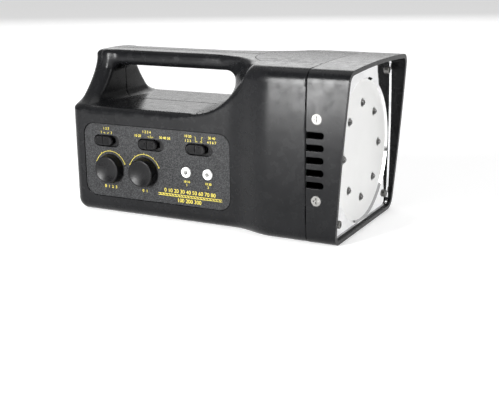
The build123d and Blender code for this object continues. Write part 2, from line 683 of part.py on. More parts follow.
with BuildPart() as board_spacers:
    with BuildSketch(Plane.YZ.offset(LED_BOARD_X)):
        with Locations((0, DISC_Z)):
            with PolarLocations(SPACER_RING_R, 4, 45):
                Circle(SPACER_R)
    extrude(amount=DISC_BACK - LED_BOARD_X)
    with BuildSketch(Plane.YZ.offset(LED_BOARD_X - 1)):
        with Locations((0, DISC_Z)):
            with PolarLocations(SPACER_RING_R, 4, 45):
                Circle(SCREW_D / 2 + FIT)
    extrude(amount=5, mode=Mode.SUBTRACT)
save(board_spacers.part, "board_spacers")

with BuildPart() as led_board_screws:
    for y in mirrored(SPACER_RING_R / sqrt(2)):
        for z in mirrored(SPACER_RING_R / sqrt(2)):
            add(pan_screw((LED_BOARD_X - BOARD_THICK, y, DISC_Z + z), (1, 0, 0), 4.6))
save(led_board_screws.part, "led_board_screws")

# ---- Display in the roof of the head ----
with BuildPart() as display_window:
    extrude(window_outline(), 2 * WINDOW_THICK)
    add(block(OPENING_REAR), mode=Mode.INTERSECT)
save(display_window.part, "display_window")

with BuildPart() as display_frame:
    with BuildSketch(Plane.XY.offset(LCD_TOP)):
        with Locations((LCD_MID_X, 0)):
            Rectangle(LCD_LENGTH, LCD_WIDTH)
            Rectangle(LCD_LENGTH - 2 * FRAME_WALL, LCD_WIDTH - 2 * FRAME_WALL, mode=Mode.SUBTRACT)
    extrude(amount=FRAME_HEIGHT)
save(display_frame.part, "display_frame")

with BuildPart() as lcd:
    add(brick((LCD_MID_X - LCD_LENGTH / 2, -LCD_WIDTH / 2, LCD_TOP - LCD_THICK),
              (LCD_MID_X + LCD_LENGTH / 2, LCD_WIDTH / 2, LCD_TOP)))
save(lcd.part, "lcd")

with BuildPart() as display_board:
    half_length, half_width = LCD_LENGTH / 2 + LCD_BOARD_EDGE, LCD_WIDTH / 2 + LCD_BOARD_EDGE
    add(brick((LCD_MID_X - half_length, -half_width, LCD_TOP - LCD_THICK - BOARD_THICK),
              (LCD_MID_X + half_length, half_width, LCD_TOP - LCD_THICK)))
save(display_board.part, "display_board")

# ---- Control panel ----
with BuildPart() as label_panel:
    with BuildSketch(on_side(PANEL_MID_X, PANEL_MID_Z, PANEL_POCKET)):
        RectangleRounded(PANEL_LENGTH, PANEL_HEIGHT, PANEL_R)
    extrude(amount=PANEL_THICK)
    with BuildSketch(on_side(0, 0, PANEL_POCKET)):
        with Locations(*[(x, SWITCH_Z) for x in slot_row()]):
            SlotOverall(SLOT_LENGTH, SLOT_HEIGHT)
        with Locations(*[(x, KNOB_Z) for x in KNOBS.values()]):
            Circle(BUSHING_D / 2 + FIT)
        with Locations(*[(x, JACK_Z) for x in jack_row()]):
            Circle(JACK_SLEEVE_D / 2 + FIT)
    extrude(amount=PANEL_THICK, mode=Mode.SUBTRACT)
save(label_panel.part, "label_panel")

# ---- Potentiometers and knobs ----
PANEL_DEPTH = BODY_HALF - PANEL_FACE
KNOB_BASE = PANEL_DEPTH - CLEAR
for name, x in KNOBS.items():
    with BuildPart() as pot:
        add(rod((x, -SEAT_HALF, KNOB_Z), (0, 1, 0), POT_D / 2, SEAT_HALF + CONTROL_Y))
        add(rod((x, -SEAT_HALF + 1, KNOB_Z), (0, -1, 0), BUSHING_D / 2,
                PANEL_FACE + POT_NUT_THICK - SEAT_HALF + 1))
        add(rod((x, -SEAT_HALF + 8, KNOB_Z), (0, -1, 0), SHAFT_D / 2 + RUNNING_FIT, 20),
            mode=Mode.SUBTRACT)
    save(pot.part, f"{name}_potentiometer")

    with BuildPart() as shaft:
        add(rod((x, -SEAT_HALF + 8 - CLEAR, KNOB_Z), (0, -1, 0), SHAFT_D / 2,
                PANEL_FACE + KNOB_HEIGHT - 2.4 - SEAT_HALF + 8 - CLEAR))
    save(shaft.part, f"{name}_shaft")

    with BuildPart() as nut:
        with BuildSketch(on_side(x, KNOB_Z, PANEL_DEPTH)):
            RegularPolygon(POT_NUT_AF / 2, 6, major_radius=False)
            Circle(BUSHING_D / 2 + FIT, mode=Mode.SUBTRACT)
        extrude(amount=POT_NUT_THICK)
    save(nut.part, f"{name}_nut")

    with BuildPart() as knob:
        add(Solid.make_cone(KNOB_D / 2, KNOB_FRONT_D / 2, KNOB_HEIGHT - CLEAR,
                            on_side(x, KNOB_Z, KNOB_BASE)))
        fillet(knob.edges().group_by(Axis.Y)[0], 0.8)
        dish_r = ((KNOB_FRONT_D / 2 - 1.2) ** 2 + KNOB_DISH ** 2) / (2 * KNOB_DISH)
        dish = on_side(x, KNOB_Z, PANEL_DEPTH - KNOB_HEIGHT + KNOB_DISH - dish_r)
        add(Solid.make_sphere(dish_r, dish), mode=Mode.SUBTRACT)
        add(rod((x, -PANEL_FACE, KNOB_Z), (0, -1, 0), KNOB_CAVITY_D / 2, KNOB_CAVITY),
            mode=Mode.SUBTRACT)
        add(rod((x, -PANEL_FACE, KNOB_Z), (0, -1, 0), SHAFT_D / 2 + 0.02, KNOB_HEIGHT - 2.4),
            mode=Mode.SUBTRACT)
    save(knob.part, f"{name}_knob")

# ---- Slide switches: fixed bodies and moving caps, stored at the rear end of their travel ----
for name, x in SLIDERS.items():
    cap_x = x - SLOT_LENGTH / 2 + CLEAR + CAP_LENGTH / 2
    cap_top = PANEL_DEPTH - CAP_PROUD
    with BuildPart() as slider:
        with BuildSketch(on_side(cap_x, SWITCH_Z, cap_top + CAP_THICK)):
            SlotOverall(CAP_LENGTH, CAP_HEIGHT)
        extrude(amount=CAP_THICK)
        chamfer(slider.edges().group_by(Axis.Y)[0], 0.7)
        add(brick((cap_x - CAP_GROOVE / 2, -FAR, SWITCH_Z - CAP_HEIGHT),
                  (cap_x + CAP_GROOVE / 2, -PANEL_FACE - 0.1, SWITCH_Z + CAP_HEIGHT)), mode=Mode.SUBTRACT)
        add(brick((cap_x - STEM_LENGTH / 2, -PANEL_FACE + 1, SWITCH_Z - STEM_HEIGHT / 2),
                  (cap_x + STEM_LENGTH / 2, -SEAT_HALF + STEM_DEPTH, SWITCH_Z + STEM_HEIGHT / 2)))
    save(slider.part, f"{name}_slider")

with BuildPart() as switch_bodies:
    for x in slot_row():
        add(brick((x - SWITCH_LENGTH / 2, -SEAT_HALF, SWITCH_Z - SWITCH_HEIGHT / 2),
                  (x + SWITCH_LENGTH / 2, CONTROL_Y, SWITCH_Z + SWITCH_HEIGHT / 2)))
        well = (STEM_LENGTH + SLIDER_TRAVEL) / 2 + CLEAR
        add(brick((x - well, -SEAT_HALF - 1, SWITCH_Z - STEM_HEIGHT / 2 - CLEAR),
                  (x + well, -SEAT_HALF + STEM_DEPTH + CLEAR, SWITCH_Z + STEM_HEIGHT / 2 + CLEAR)),
            mode=Mode.SUBTRACT)
save(switch_bodies.part, "switch_bodies")

# ---- Jacks ----
JACK_MOUTH = PANEL_FACE + JACK_PROUD
with BuildPart() as jack_sockets:
    for x in jack_row():
        half = JACK_BODY / 2
        add(brick((x - half, -SEAT_HALF, JACK_Z - half), (x + half, CONTROL_Y, JACK_Z + half)))
        add(rod((x, -SEAT_HALF + 1, JACK_Z), (0, -1, 0), JACK_SLEEVE_D / 2,
                JACK_MOUTH - SEAT_HALF + 1))
        add(rod((x, -JACK_MOUTH - 1, JACK_Z), (0, 1, 0), JACK_BORE_R, JACK_LENGTH + 1),
            mode=Mode.SUBTRACT)
save(jack_sockets.part, "jack_sockets")

with BuildPart() as jack_rings:
    for x in jack_row():
        add(rod((x, -PANEL_FACE, JACK_Z), (0, -1, 0), JACK_RING_D / 2, JACK_PROUD - 0.2))
    fillet(jack_rings.edges().group_by(Axis.Y)[0], 0.7)
    for x in jack_row():
        add(rod((x, -PANEL_FACE + 1, JACK_Z), (0, -1, 0), JACK_SLEEVE_D / 2 + FIT / 2, JACK_PROUD + 2),
            mode=Mode.SUBTRACT)
save(jack_rings.part, "jack_rings")

# ---- Circuit boards behind the panel and against the left shell ----
with BuildPart() as control_board:
    add(brick((PANEL_REAR + CONTROL_EDGE, CONTROL_Y, PANEL_LOW + CONTROL_EDGE),
              (PANEL_FRONT - CONTROL_EDGE, CONTROL_Y + BOARD_THICK,
               PANEL_LOW + PANEL_HEIGHT - CONTROL_EDGE)))
    for x, z in BOARD_CORNERS:
        add(rod((x, CONTROL_Y - 1, z), (0, 1, 0), SCREW_D / 2 + FIT, 4), mode=Mode.SUBTRACT)
save(control_board.part, "control_board")

with BuildPart() as main_board:
    add(brick((PANEL_REAR + CONTROL_EDGE, MAIN_Y - BOARD_THICK, PANEL_LOW + CONTROL_EDGE),
              (PANEL_FRONT - CONTROL_EDGE, MAIN_Y, PANEL_LOW + PANEL_HEIGHT - CONTROL_EDGE)))
    for x, z in BOARD_CORNERS:
        add(rod((x, MAIN_Y - 3, z), (0, 1, 0), SCREW_D / 2 + FIT, 4), mode=Mode.SUBTRACT)
save(main_board.part, "main_board")

with BuildPart() as board_screws:
    for x, z in BOARD_CORNERS:
        add(pan_screw((x, CONTROL_Y + BOARD_THICK, z), (0, -1, 0), 7.0))
        add(pan_screw((x, MAIN_Y - BOARD_THICK, z), (0, 1, 0), 7.0))
save(board_screws.part, "board_screws")

MAIN_FACE = MAIN_Y - BOARD_THICK
with BuildPart() as capacitors:
    for z in mirrored(CAPACITOR_PITCH / 2):
        place = (PANEL_REAR + CAPACITOR_ALONG, MAIN_FACE, CAPACITOR_Z + z)
        add(rod(place, (0, -1, 0), CAPACITOR_D / 2, CAPACITOR_LENGTH))
    fillet(capacitors.edges().group_by(Axis.Y)[0], 1.0)
save(capacitors.part, "capacitors")

with BuildPart() as transformer:
    start, half = PANEL_REAR + TRANSFORMER_ALONG, TRANSFORMER_SIZE / 2
    add(brick((start, MAIN_FACE - TRANSFORMER_DEPTH, PANEL_MID_Z - half),
              (start + TRANSFORMER_SIZE, MAIN_FACE, PANEL_MID_Z + half)))
    chamfer(transformer.edges().group_by(Axis.Y)[0], 1.2)
save(transformer.part, "transformer")

with BuildPart() as heat_sink:
    start, half = PANEL_REAR + SINK_ALONG, SINK_HEIGHT / 2
    length = (SINK_FINS - 1) * SINK_PITCH + SINK_FIN
    add(brick((start, MAIN_FACE - SINK_BASE, PANEL_MID_Z - half),
              (start + length, MAIN_FACE, PANEL_MID_Z + half)))
    for step in range(SINK_FINS):
        x = start + step * SINK_PITCH
        add(brick((x, MAIN_FACE - SINK_DEPTH, PANEL_MID_Z - half),
                  (x + SINK_FIN, MAIN_FACE - SINK_BASE / 2, PANEL_MID_Z + half)))
save(heat_sink.part, "heat_sink")

# ---- Power inlet in the rear wall and tripod insert in the base ----
with BuildPart() as power_inlet:
    add(rod((REAR_X, INLET_Y, INLET_Z), (1, 0, 0), INLET_D / 2, INLET_LENGTH))
    add(rod((REAR_X + WALL, INLET_Y, INLET_Z), (1, 0, 0), INLET_D / 2 + INLET_FLANGE, WALL))
    add(rod((REAR_X, INLET_Y, INLET_Z), (1, 0, 0), INLET_BORE_D / 2, INLET_DEPTH), mode=Mode.SUBTRACT)
    add(rod((REAR_X + 1, INLET_Y, INLET_Z), (1, 0, 0), INLET_PIN_D / 2, INLET_LENGTH - 2))
save(power_inlet.part, "power_inlet")

with BuildPart() as tripod_insert:
    add(rod((TRIPOD_X, 0, 0), (0, 0, 1), TRIPOD_INSERT_D / 2 - FIT / 2, TRIPOD_DEPTH))
    add(rod((TRIPOD_X, 0, -1), (0, 0, 1), TRIPOD_R, TRIPOD_DEPTH - 1), mode=Mode.SUBTRACT)
save(tripod_insert.part, "tripod_insert")
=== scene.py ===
"""Looks of a hand-held digital strobe light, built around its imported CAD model.

Metres, +X towards the lamp, -Y towards the control panel, +Z up, as in the frame.
"""
import math

import bmesh
import bpy
import numpy as np
from mathutils import Matrix, Vector


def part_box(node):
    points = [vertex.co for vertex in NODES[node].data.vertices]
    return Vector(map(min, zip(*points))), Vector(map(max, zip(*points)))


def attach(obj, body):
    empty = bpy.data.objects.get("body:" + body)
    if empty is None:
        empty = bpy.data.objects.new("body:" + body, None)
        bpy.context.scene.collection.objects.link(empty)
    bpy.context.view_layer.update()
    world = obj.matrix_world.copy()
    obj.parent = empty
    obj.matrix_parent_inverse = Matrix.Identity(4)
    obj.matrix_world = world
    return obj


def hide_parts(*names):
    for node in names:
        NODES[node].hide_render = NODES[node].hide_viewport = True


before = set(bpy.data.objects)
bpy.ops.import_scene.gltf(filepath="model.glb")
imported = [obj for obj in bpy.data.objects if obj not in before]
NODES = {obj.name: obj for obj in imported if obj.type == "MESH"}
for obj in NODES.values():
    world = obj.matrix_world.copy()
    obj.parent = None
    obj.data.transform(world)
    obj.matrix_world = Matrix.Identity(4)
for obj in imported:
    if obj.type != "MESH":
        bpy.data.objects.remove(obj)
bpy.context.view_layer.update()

MM = 0.001

# ---- Camera ----
CAMERA_PLACE = Vector((0.33569, -0.63241, 0.20005))
CAMERA_AZIMUTH = math.radians(27.126)
CAMERA_ELEVATION = math.radians(15.412)
CAMERA_ROLL = math.radians(-0.586)
SENSOR = 36.0
FOCAL_IN_WIDTHS = 967.63 / 499


def make_camera():
    """Camera at the viewing angle of the photograph."""
    az, el, roll = CAMERA_AZIMUTH, CAMERA_ELEVATION, CAMERA_ROLL
    back = Vector((math.sin(az) * math.cos(el), -math.cos(az) * math.cos(el), math.sin(el)))
    right = (-back).cross(Vector((0, 0, 1))).normalized()
    up = right.cross(-back)
    turned_right = right * math.cos(roll) + up * math.sin(roll)
    turned_up = up * math.cos(roll) - right * math.sin(roll)
    data = bpy.data.cameras.new("camera")
    data.sensor_width = SENSOR
    data.lens = SENSOR * FOCAL_IN_WIDTHS
    data.clip_start = 0.01
    camera = bpy.data.objects.new("camera", data)
    turn = Matrix((turned_right, turned_up, back)).transposed()
    camera.matrix_world = Matrix.Translation(CAMERA_PLACE) @ turn.to_4x4()
    bpy.context.scene.collection.objects.link(camera)
    bpy.context.scene.camera = camera


# ---- Studio ----
FLOOR_GLOW = 0.42           # added to the lit paper, so that it shows nearly white
FLOOR_SIZE = 12.0
FLOOR_DROP = 0.0002         # keeps the paper just below the base
WORLD_DARK = 0.035          # light from the viewer's side
WORLD_LIGHT = 0.58          # light from behind the object
WORLD_CHANGE = (-0.75, 0.35)  # where along Y the one passes into the other
LAMPS = (
    # name, place, target, size, watts
    ("top_light", (0.0, 0.2, 1.3), (0, 0, 0.06), (1.2, 0.9), 3.5),
    ("rear_light", (-0.75, 1.5, 0.75), (0, 0, 0.1), (1.8, 0.8), 9.0),
    ("side_light", (-0.26, -0.9, 0.30), (0.07, -0.06, 0.07), (0.16, 0.6), 18.0),
    ("lamp_light", (1.1, -0.15, 0.35), (0.1, 0, 0.06), (0.5, 0.5), 5.0),
)


def area_light(name, place, target, size, watts):
    """Soft rectangular lamp that points at target."""
    data = bpy.data.lights.new(name, "AREA")
    data.shape = "RECTANGLE"
    data.size, data.size_y = size
    data.energy = watts
    lamp = bpy.data.objects.new(name, data)
    lamp.location = place
    lamp.rotation_euler = (Vector(target) - Vector(place)).to_track_quat("-Z", "Y").to_euler()
    bpy.context.scene.collection.objects.link(lamp)


def make_world():
    """White to the camera. As light it is bright behind the object and dark on the viewer's side."""
    world = bpy.data.worlds.new("studio")
    world.use_nodes = True
    bpy.context.scene.world = world
    tree = world.node_tree
    tree.nodes.clear()
    out = tree.nodes.new("ShaderNodeOutputWorld")
    plain = tree.nodes.new("ShaderNodeBackground")
    plain.inputs["Color"].default_value = (1, 1, 1, 1)
    lit = tree.nodes.new("ShaderNodeBackground")
    coords = tree.nodes.new("ShaderNodeTexCoord")
    split = tree.nodes.new("ShaderNodeSeparateXYZ")
    ramp = tree.nodes.new("ShaderNodeMapRange")
    ramp.interpolation_type = "SMOOTHSTEP"
    ramp.inputs["From Min"].default_value, ramp.inputs["From Max"].default_value = WORLD_CHANGE
    ramp.inputs["To Min"].default_value = WORLD_DARK
    ramp.inputs["To Max"].default_value = WORLD_LIGHT
    tree.links.new(coords.outputs["Generated"], split.inputs[0])
    tree.links.new(split.outputs["Y"], ramp.inputs["Value"])
    tree.links.new(ramp.outputs["Result"], lit.inputs["Strength"])
    path = tree.nodes.new("ShaderNodeLightPath")
    mix = tree.nodes.new("ShaderNodeMixShader")
    tree.links.new(path.outputs["Is Camera Ray"], mix.inputs[0])
    tree.links.new(lit.outputs[0], mix.inputs[1])
    tree.links.new(plain.outputs[0], mix.inputs[2])
    tree.links.new(mix.outputs[0], out.inputs[0])


def make_floor():
    """Plain pale floor: it glows a little to camera, glossy and clear rays, and keeps the object's shadow."""
    bpy.ops.mesh.primitive_plane_add(size=FLOOR_SIZE, location=(0, 0, -FLOOR_DROP))
    floor = bpy.context.object
    floor.name = "floor"
    surface = bpy.data.materials.new("floor_paper")
    surface.use_nodes = True
    tree = surface.node_tree
    shader = tree.nodes["Principled BSDF"]
    shader.inputs["Base Color"].default_value = (0.8, 0.8, 0.8, 1)
    shader.inputs["Roughness"].default_value = 0.9
    shader.inputs["Specular IOR Level"].default_value = 0.1
    path = tree.nodes.new("ShaderNodeLightPath")
    seen = path.outputs["Is Camera Ray"]
    for ray in ("Is Glossy Ray", "Is Transmission Ray"):
        either = tree.nodes.new("ShaderNodeMath")
        either.operation = "MAXIMUM"
        tree.links.new(seen, either.inputs[0])
        tree.links.new(path.outputs[ray], either.inputs[1])
        seen = either.outputs[0]
    glow = tree.nodes.new("ShaderNodeMath")
    glow.operation = "MULTIPLY"
    glow.inputs[1].default_value = FLOOR_GLOW
    tree.links.new(seen, glow.inputs[0])
    tree.links.new(glow.outputs[0], shader.inputs["Emission Strength"])
    shader.inputs["Emission Color"].default_value = (1, 1, 1, 1)
    floor.data.materials.append(surface)


# ---- Materials ----
MIX_A, MIX_B, MIX_RESULT = 6, 7, 2   # colour sockets of the Mix node
GRAIN_STRENGTH = 0.35
COAT_ROUGH = 0.15
CLEAR_ROUGH = 0.03
CLEAR_IOR = 1.5


def new_material(name):
    """Material with its node tree, its shader and a function that adds nodes."""
    material = bpy.data.materials.new(name)
    material.use_nodes = True
    tree = material.node_tree
    shader = tree.nodes["Principled BSDF"]

    def node(kind, values=None):
        made = tree.nodes.new(kind)
        for key, value in (values or {}).items():
            if key in made.inputs:
                made.inputs[key].default_value = value
            else:
                setattr(made, key, value)
        return made

    return material, tree, shader, node


def noise(node, coords, scale, detail=3.0, rough=0.5):
    """Noise texture in object space, scale in cycles per metre."""
    made = node("ShaderNodeTexNoise", {"Scale": scale, "Detail": detail, "Roughness": rough})
    made.id_data.links.new(coords, made.inputs["Vector"])
    return made.outputs["Fac"]


def remap(node, source, low, high, start=0.3, end=0.7):
    """Value from low to high as source goes from start to end."""
    made = node("ShaderNodeMapRange", {"From Min": start, "From Max": end, "To Min": low, "To Max": high})
    made.id_data.links.new(source, made.inputs["Value"])
    return made.outputs["Result"]


def colour_mix(node, fac, first, second):
    """Colour between first and second by fac."""
    made = node("ShaderNodeMix", {"data_type": "RGBA"})
    made.id_data.links.new(fac, made.inputs["Factor"])
    made.inputs[MIX_A].default_value = (*first, 1)
    made.inputs[MIX_B].default_value = (*second, 1)
    return made.outputs[MIX_RESULT]


def moulded_plastic(name, dark, light, rough, grain=0.02, grain_scale=2600.0, coat=0.0, specular=0.5,
                    edge=0.0):
    """Moulded plastic: fine spark-erosion grain, slight mottling of colour and gloss."""
    material, tree, shader, node = new_material(name)
    coords = node("ShaderNodeTexCoord").outputs["Object"]
    broad = noise(node, coords, 45.0, 4.0)
    fine = noise(node, coords, grain_scale, 2.0, 0.6)
    tree.links.new(colour_mix(node, remap(node, broad, 0, 1), dark, light), shader.inputs["Base Color"])
    tree.links.new(remap(node, noise(node, coords, 160.0), rough - 0.05, rough + 0.06),
                   shader.inputs["Roughness"])
    bump = node("ShaderNodeBump", {"Strength": GRAIN_STRENGTH, "Distance": grain * MM})
    if edge:
        soft_edges = node("ShaderNodeBevel", {"Radius": edge * MM})
        tree.links.new(soft_edges.outputs[0], bump.inputs["Normal"])
    tree.links.new(fine, bump.inputs["Height"])
    tree.links.new(bump.outputs["Normal"], shader.inputs["Normal"])
    shader.inputs["Specular IOR Level"].default_value = specular
    shader.inputs["Coat Weight"].default_value = coat
    shader.inputs["Coat Roughness"].default_value = COAT_ROUGH
    return material


def speckled_label(name):
    """Printed polycarbonate label: dark grey with a fine lighter speckle."""
    material, tree, shader, node = new_material(name)
    coords = node("ShaderNodeTexCoord").outputs["Object"]
    flakes = noise(node, coords, 1700.0, 1.0)
    shade = colour_mix(node, remap(node, flakes, 0, 1, 0.42, 0.7),
                       (0.007, 0.0073, 0.008), (0.05, 0.051, 0.053))
    tree.links.new(shade, shader.inputs["Base Color"])
    tree.links.new(remap(node, noise(node, coords, 90.0), 0.42, 0.52), shader.inputs["Roughness"])
    shader.inputs["Specular IOR Level"].default_value = 0.2
    bump = node("ShaderNodeBump", {"Strength": 0.2, "Distance": 0.01 * MM})
    tree.links.new(noise(node, coords, 5200.0, 2.0), bump.inputs["Height"])
    tree.links.new(bump.outputs["Normal"], shader.inputs["Normal"])
    return material


def metal(name, colour, rough, brush=0.0, worn=0.08):
    """Metal with faint smears in its gloss and, where brush is given, a stronger grain."""
    material, tree, shader, node = new_material(name)
    coords = node("ShaderNodeTexCoord").outputs["Object"]
    shader.inputs["Metallic"].default_value = 1.0
    darker = tuple(c * 0.82 for c in colour)
    tree.links.new(colour_mix(node, remap(node, noise(node, coords, 120.0, 5.0), 0, 1), darker, colour),
                   shader.inputs["Base Color"])
    smear = noise(node, coords, 70.0, 5.0, 0.6)
    tree.links.new(remap(node, smear, rough, rough + worn), shader.inputs["Roughness"])
    bump = node("ShaderNodeBump", {"Strength": 0.1 + brush, "Distance": 0.004 * MM})
    tree.links.new(noise(node, coords, 1800.0, 2.0), bump.inputs["Height"])
    tree.links.new(bump.outputs["Normal"], shader.inputs["Normal"])
    return material


def clear_plastic(name, tint):
    """Clear moulded epoxy with faint flow marks."""
    material, tree, shader, node = new_material(name)
    coords = node("ShaderNodeTexCoord").outputs["Object"]
    paler = tuple(min(1.0, c * 1.05) for c in tint)
    tree.links.new(colour_mix(node, remap(node, noise(node, coords, 400.0), 0, 1), tint, paler),
                   shader.inputs["Base Color"])
    shader.inputs["Transmission Weight"].default_value = 1.0
    shader.inputs["IOR"].default_value = CLEAR_IOR
    tree.links.new(remap(node, noise(node, coords, 300.0), CLEAR_ROUGH, CLEAR_ROUGH * 2),
                   shader.inputs["Roughness"])
    return material


def circuit_board(name):
    """Green solder mask over faint traces."""
    material, tree, shader, node = new_material(name)
    coords = node("ShaderNodeTexCoord").outputs["Object"]
    cells = node("ShaderNodeTexVoronoi", {"Scale": 420.0, "distance": "MANHATTAN"})
    tree.links.new(coords, cells.inputs["Vector"])
    lines = remap(node, cells.outputs["Distance"], 0, 1, 0.3, 0.36)
    tree.links.new(colour_mix(node, lines, (0.02, 0.14, 0.06), (0.015, 0.075, 0.035)),
                   shader.inputs["Base Color"])
    tree.links.new(remap(node, noise(node, coords, 200.0), 0.3, 0.42), shader.inputs["Roughness"])
    return material


def make_materials():
    """One material for each slot of the record."""
    charcoal = moulded_plastic("charcoal_plastic", (0.006, 0.0062, 0.0068), (0.009, 0.0092, 0.010), 0.25,
                               grain=0.012, specular=0.16, edge=0.5)
    black = moulded_plastic("black_plastic_look", (0.004, 0.004, 0.0045), (0.007, 0.007, 0.0075), 0.3,
                            grain=0.004, specular=0.18)
    white = moulded_plastic("white_plastic_look", (0.84, 0.84, 0.83), (0.88, 0.88, 0.87), 0.4, grain=0.01)
    window = moulded_plastic("smoked_window", (0.02, 0.02, 0.022), (0.03, 0.03, 0.033), 0.26, grain=0.002,
                             grain_scale=300.0, specular=0.09)
    return {
        "housing_plastic": charcoal,
        "black_plastic": black,
        "white_plastic": white,
        "panel_face": speckled_label("panel_label"),
        "mirror_plate": metal("mirror_finish", (0.92, 0.92, 0.93), 0.035, worn=0.04),
        "steel": metal("nickel_screws", (0.2, 0.197, 0.19), 0.3),
        "pot_metal": metal("zinc_cans", (0.5, 0.5, 0.49), 0.35),
        "clear_lens": clear_plastic("clear_epoxy", (0.95, 0.95, 0.97)),
        "window": window,
        "lcd_glass": moulded_plastic("lcd_panel", (0.16, 0.19, 0.15), (0.19, 0.22, 0.18), 0.15, coat=0.6),
        "circuit_board": circuit_board("solder_mask"),
        "capacitor_sleeve": moulded_plastic("capacitor_sleeve_look", (0.015, 0.02, 0.06),
                                            (0.02, 0.03, 0.08), 0.3),
        "ferrite": moulded_plastic("ferrite_look", (0.04, 0.038, 0.036), (0.07, 0.066, 0.06), 0.6,
                                   grain=0.05),
        "aluminium": metal("extruded_aluminium", (0.75, 0.75, 0.77), 0.3, brush=0.3),
        "brass": metal("turned_brass", (0.7, 0.5, 0.22), 0.25, brush=0.2),
    }


MATERIALS = make_materials()


def dress_nodes():
    """Gives every CAD node the finished material of its slot."""
    for node in NODES.values():
        for index, packed in enumerate(node.data.materials):
            node.data.materials[index] = MATERIALS[packed.name.split(".")[0]]


# ---- Housing shells: one smooth form from blended solids, in millimetres ----
BODY_HALF = 49.5
HEAD_HALF = 60.0
HEIGHT = 120.0
REAR_X = -114.2
SEAM_X = 84.1
FLARE_START = 18.0
FLARE_LENGTH = 41.0
CORNER_R = 8.7
CROWN = 2.0
WALL = 3.0
FLOOR_Z = 81.0
SHOULDER_R = 5.5
GRIP_Z = 114.25
GRIP_HALF = 17.0
GRIP_HALF_THICK = 5.75
GRIP_R = 5.0
GRIP_END_X = 30.0            # inside the head
REAR_R = 8.5                 # upright edges of the rear wall
POST_FRONT_X = -96.0
POST_SPREAD = 29.0           # how far each flank of the post leans out at its foot
POST_DROP = 36.3             # height over which it does
POST_BEND = 1.57
POST_EDGE_R = 4.5
POST_REAR_R = 7.0
HEAD_EDGE_R = 3.0
FILLET_R = 6.0               # floor to head and post to grip
BLEND_R = 6.5                # handle to body
SWEEP_SIDE_X, SWEEP_SIDE_Z, SWEEP_SIDE_R = -20.0, 140.5, 62.0    # arc along the body's side
SWEEP_MID_X, SWEEP_MID_Z, SWEEP_MID_R = -11.0, 101.0, 20.0       # arc under the grip
SWEEP_MID_BACK = 9.0         # how far that one turns back under the roof
CELL = 1.1                   # grid of the surface net
NET_MARGIN = 3.0
SLOPE_STEP = 0.05            # for the field's slope
LEAST_SLOPE = 0.25           # squared, where the field is nearly level
SETTLE_ROUNDS = 3
BODY_SAG, SAG_GAIN = 0.4, 1.6            # how far the sides curve in at top and base, and more at the head
GRIP_OVERLAP = 6.0           # grip inside the post
POST_TOP_Z, POST_LOWEST = 114.0, 60.0    # the flanks lean out below this height, over no more than this
POST_BOW, POST_BOW_Y = 3.0, 40.0         # front of the post: depth of its curve at this distance out
POST_EASE, SWEEP_EASE = 0.75, 0.8        # bring fields that rise too fast back to a distance
SWEEP_BACK_Z, SWEEP_BACK_RISE = 106.0, 14.0
SWEEP_FROM_Y, SWEEP_SPAN_Y = 15.0, 35.0
SWEEP_HIGH_Z, SWEEP_HIGH_RISE = 98.0, 18.0
SWEEP_BEND = 2.2


def eased(t):
    """Ease from 0 to 1 with level ends and no sudden bend."""
    t = np.clip(t, 0, 1)
    return t * t * t * (t * (6 * t - 15) + 10)


def meet(a, b, radius):
    """Where both solids are, with the edge between them rounded."""
    rounded = np.hypot(np.maximum(a + radius, 0), np.maximum(b + radius, 0)) - radius
    return rounded + np.minimum(np.maximum(a, b) + radius, 0)


def join(a, b, radius):
    """Where either solid is, with the corner between them filleted."""
    return -meet(-a, -b, radius)


def block_field(x, y, z):
    """Body, flare and head before the handle is shaped."""
    grown = eased((x - FLARE_START) / FLARE_LENGTH)
    half = BODY_HALF + (HEAD_HALF - BODY_HALF) * grown
    side = y - half + (BODY_SAG + SAG_GAIN * grown) * ((z - HEIGHT / 2) / (HEIGHT / 2)) ** 2
    roof = z - HEIGHT + CROWN * (y / half) ** 2
    section = meet(side, np.maximum(roof, -z), CORNER_R)
    return meet(section, REAR_X - x, REAR_R)


def sweep_field(x, y, z):
    """Negative ahead of the head's rear surface, which runs from the grip out to the swept edge."""
    outer = SWEEP_SIDE_X + np.sqrt(
        np.maximum(SWEEP_SIDE_R ** 2 - np.clip(SWEEP_SIDE_Z - z, 0, SWEEP_SIDE_R) ** 2, 0))
    inner = SWEEP_MID_X + np.sqrt(
        np.maximum(SWEEP_MID_R ** 2 - np.clip(SWEEP_MID_Z - z, 0, SWEEP_MID_R) ** 2, 0))
    inner = inner - SWEEP_MID_BACK * eased((z - SWEEP_BACK_Z) / SWEEP_BACK_RISE)
    along = np.clip((y - SWEEP_FROM_Y) / SWEEP_SPAN_Y, 0, 1)
    high = eased((z - SWEEP_HIGH_Z) / SWEEP_HIGH_RISE)
    share = along * (1 - high) + (1 - (1 - along) ** SWEEP_BEND) * high
    return (inner + (outer - inner) * share - x) * SWEEP_EASE


def housing_field(x, y, z):
    """Distance, about, to the outside of the housing; negative inside. y is the distance from its middle."""
    block = block_field(x, y, z)
    lower = meet(block, z - FLOOR_Z, SHOULDER_R)
    head = meet(block, sweep_field(x, y, z), HEAD_EDGE_R)
    grip = meet(y - GRIP_HALF, np.abs(z - GRIP_Z) - GRIP_HALF_THICK, GRIP_R)
    grip = np.maximum(grip, np.maximum(POST_FRONT_X - GRIP_OVERLAP - x, x - GRIP_END_X))
    spread = POST_SPREAD * (np.clip(POST_TOP_Z - z, 0, POST_LOWEST) / POST_DROP) ** POST_BEND
    flank = (y - GRIP_HALF - spread) * POST_EASE
    post = meet(flank, x - POST_FRONT_X + POST_BOW * (y / POST_BOW_Y) ** 2, POST_EDGE_R)
    post = meet(meet(post, REAR_X - x, POST_REAR_R), z - HEIGHT, GRIP_R)
    whole = join(join(lower, head, FILLET_R), join(post, grip, FILLET_R), BLEND_R)
    return np.maximum(whole, block)


